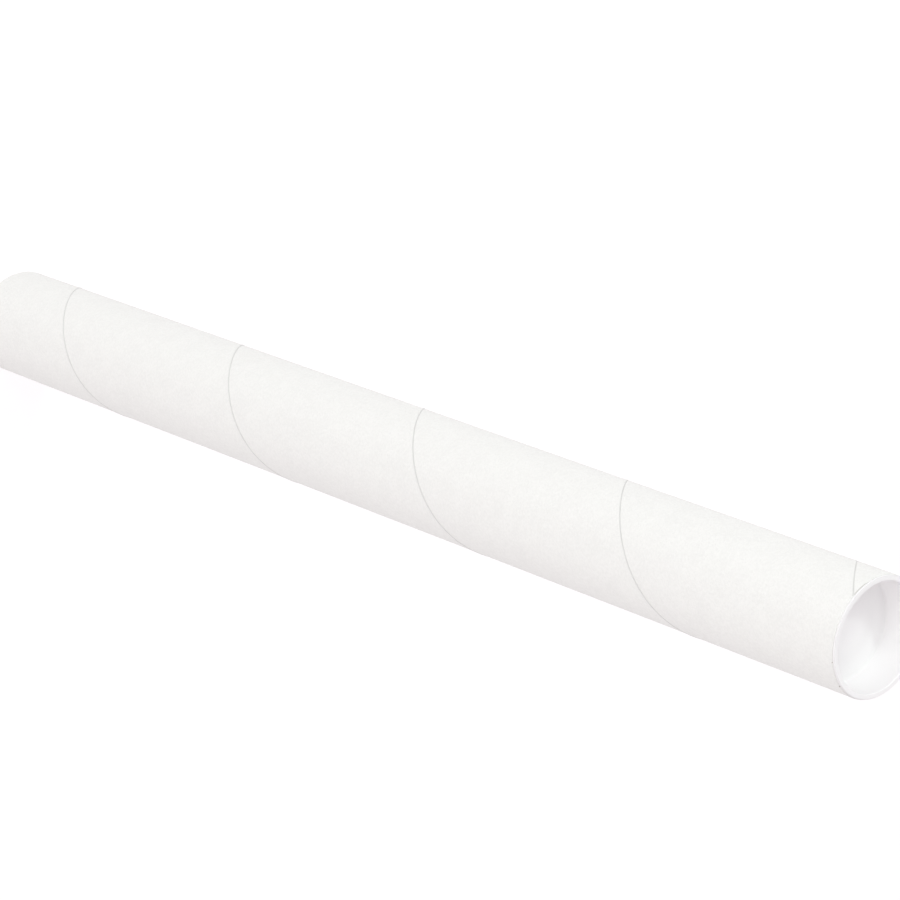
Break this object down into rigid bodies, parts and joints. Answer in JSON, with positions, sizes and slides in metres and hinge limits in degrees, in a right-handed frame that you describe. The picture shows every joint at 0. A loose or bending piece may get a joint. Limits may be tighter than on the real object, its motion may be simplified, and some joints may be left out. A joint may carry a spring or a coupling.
{
  "type": "cardboard mailing tube",
  "caption": "Long white spiral-wound cardboard mailing tube with a helical ply seam, closed at each end by a recessed white plastic plug cap.",
  "frame": {"origin": "on the tube's axis, at the face the tube stands on (outer face of the bottom cap's flange)", "axes": "+Z along the tube's axis, from the end it stands on to the end the picture shows; -Y faces the picture's camera"},
  "size_m": [0.0542, 0.0542, 0.6114],
  "materials": {
    "board": "matt white outer paper with fine fibre mottle, grey board core at the cut ends",
    "cap_plastic": "cool white moulded polyethylene with a soft satin sheen"
  },
  "bodies": {
    "bottom_cap": {"bottom_cap": "cap_plastic"},
    "tube": {"wound_tube": "board"},
    "top_cap": {"top_cap": "cap_plastic"}
  },
  "joints": [
    {"name": "tube_lift", "type": "slide", "parent": "bottom_cap", "child": "tube", "axis": [0, 0, 1], "range_m": [0, 0.06]},
    {"name": "top_cap_pull", "type": "slide", "parent": "tube", "child": "top_cap", "axis": [0, 0, 1], "range_m": [0, 0.06]}
  ]
}
